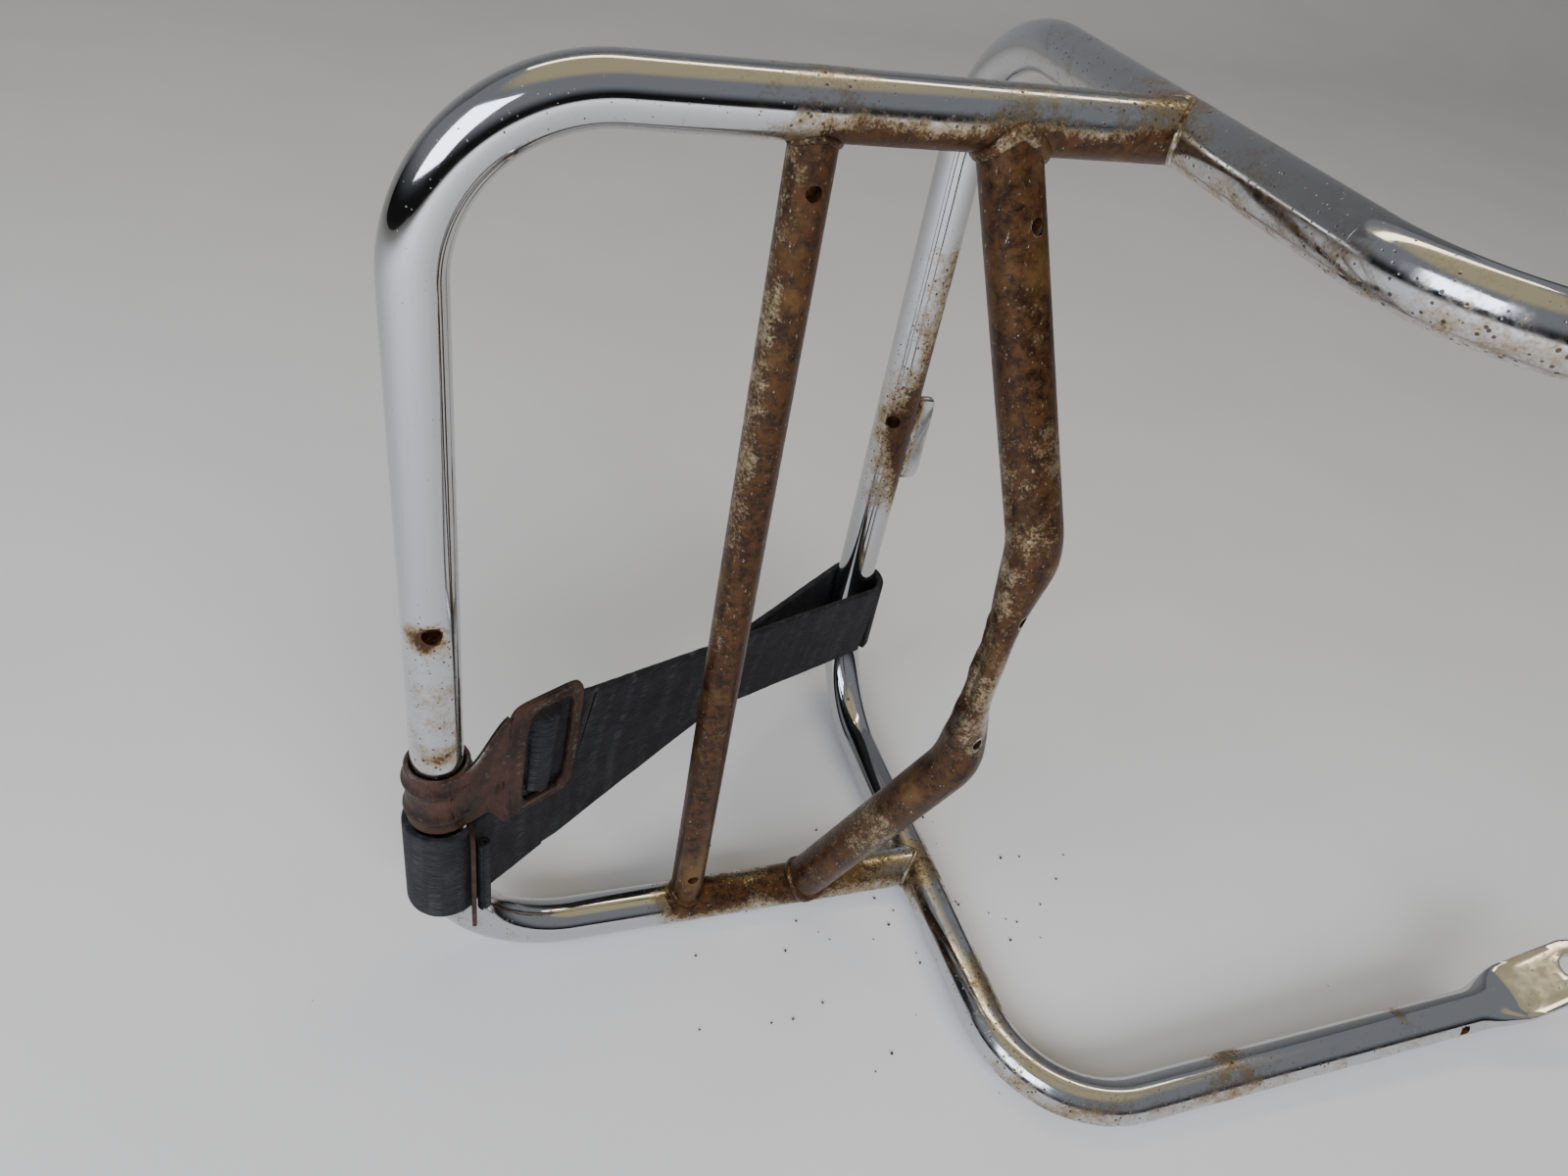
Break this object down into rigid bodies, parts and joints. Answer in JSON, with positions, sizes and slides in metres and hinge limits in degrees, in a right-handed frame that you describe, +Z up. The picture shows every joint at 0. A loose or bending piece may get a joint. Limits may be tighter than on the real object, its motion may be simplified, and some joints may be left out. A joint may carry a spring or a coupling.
{
  "type": "tubular luggage rack",
  "caption": "Bent steel tube luggage rack with a looped platform, a raised hoop, flattened lugs and a rubber strap with a steel clip.",
  "frame": {"origin": "on the floor under the middle of the rack's bounding box, with the rack standing on its side", "axes": "+Z up, across the rack from one side tube to the other; +X along the side tubes towards the mounting lugs; +Y towards the raised hoop, which is up when the rack is in use"},
  "size_m": [0.4466, 0.2442, 0.312],
  "materials": {
    "chrome_tube": "worn bright chrome plate with rust spots",
    "rusted_tube": "chrome plate mostly lost to brown rust",
    "weld": "plated and partly rusted weld bead",
    "rusted_sheet": "reddish brown rust",
    "strap_rubber": "dull aged rubber"
  },
  "bodies": {
    "rack": {"platform_loop": "chrome_tube", "hoop_and_legs": "chrome_tube", "slat_tube": "rusted_tube", "bowed_stay": "rusted_tube", "backbone_tab": "chrome_tube", "weld_loop_lower": "weld", "weld_loop_upper": "weld", "weld_slat_lower": "weld", "weld_slat_upper": "weld", "weld_stay_lower": "weld", "weld_stay_upper": "weld", "weld_tab": "weld"},
    "strap": {"rubber_strap": "strap_rubber", "strap_keeper": "rusted_sheet"},
    "clip": {"strap_clip": "rusted_sheet", "strap_eye": "strap_rubber"}
  },
  "joints": [
    {"name": "strap_slide", "type": "slide", "parent": "rack", "child": "strap", "axis": [0, 0, 1], "range_m": [0, 0.05]},
    {"name": "clip_swivel", "type": "hinge", "parent": "strap", "child": "clip", "pos_m": [-0.21191, 0.00068, 0.09], "axis": [0, 0, -1], "range_deg": [0, 15]}
  ]
}
